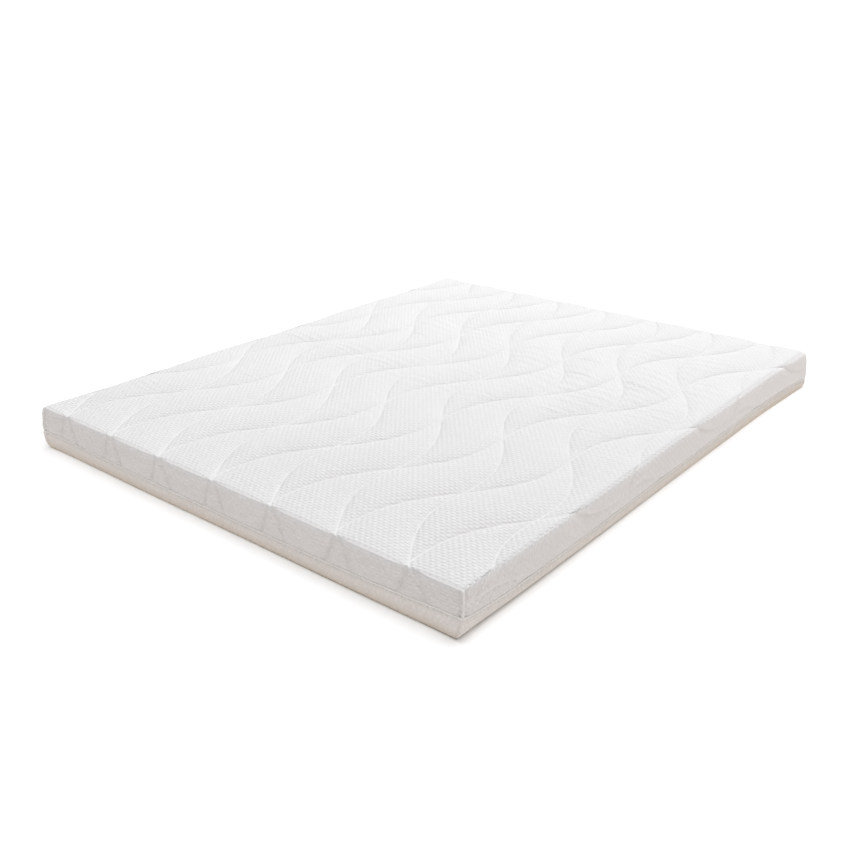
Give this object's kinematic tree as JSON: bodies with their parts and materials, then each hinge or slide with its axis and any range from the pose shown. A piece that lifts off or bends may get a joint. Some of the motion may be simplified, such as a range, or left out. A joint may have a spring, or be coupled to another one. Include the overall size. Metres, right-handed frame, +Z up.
{
  "type": "playpen mattress",
  "caption": "Padded white playpen mattress: a wavy diamond quilted upper cover and a plain knitted base cover, joined by a narrow sewn seam all round.",
  "frame": {"origin": "on the floor, at the middle of the underside", "axes": "X runs across the short width, Y along the long side and Z up through the thickness; the short end nearest the viewer in the picture faces -Y and the long side on the right faces +X"},
  "size_m": [0.7578, 0.958, 0.065],
  "materials": {
    "quilted_knit": "matte",
    "seam_cloth": "matte",
    "base_knit": "matte"
  },
  "bodies": {
    "root": {"quilted_cover": "quilted_knit", "seam_tape": "seam_cloth", "base_cover": "base_knit"}
  },
  "joints": []
}
